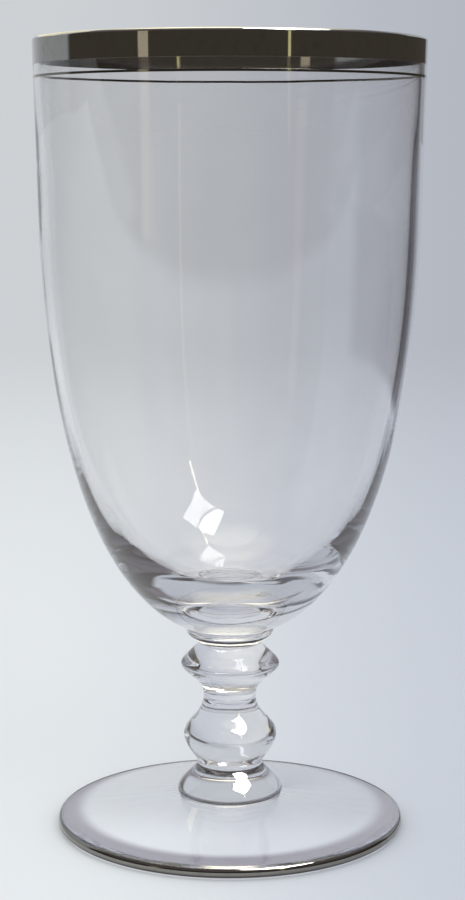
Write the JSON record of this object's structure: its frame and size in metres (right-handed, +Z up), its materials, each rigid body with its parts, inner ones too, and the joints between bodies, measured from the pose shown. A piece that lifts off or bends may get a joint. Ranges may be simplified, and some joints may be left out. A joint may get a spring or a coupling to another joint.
{
  "type": "stemmed iced tea glass",
  "caption": "Tall clear stemmed iced tea glass: tapering bowl with a wide bright metal band and a pin line at the lip, knopped stem, and a round foot edged in metal.",
  "frame": {"origin": "centre of the level ring under the foot, on the table", "axes": "+Z up along the axis of revolution; the glass is round, so X and Y are free, and -Y faces the viewer of the picture"},
  "size_m": [0.0832, 0.0832, 0.1704],
  "materials": {
    "clear_glass": "clear, fire-polished, faint upright striae in the bowl",
    "band_metal": "bright fired metal film with fine brush lines around the glass",
    "line_metal": "thin fired metal of the lines, darker and a little worn"
  },
  "bodies": {
    "root": {"bowl": "clear_glass", "collar": "clear_glass", "stem": "clear_glass", "button": "clear_glass", "foot": "clear_glass", "rim_band": "band_metal", "pin_line": "line_metal", "foot_band": "line_metal"}
  },
  "joints": []
}
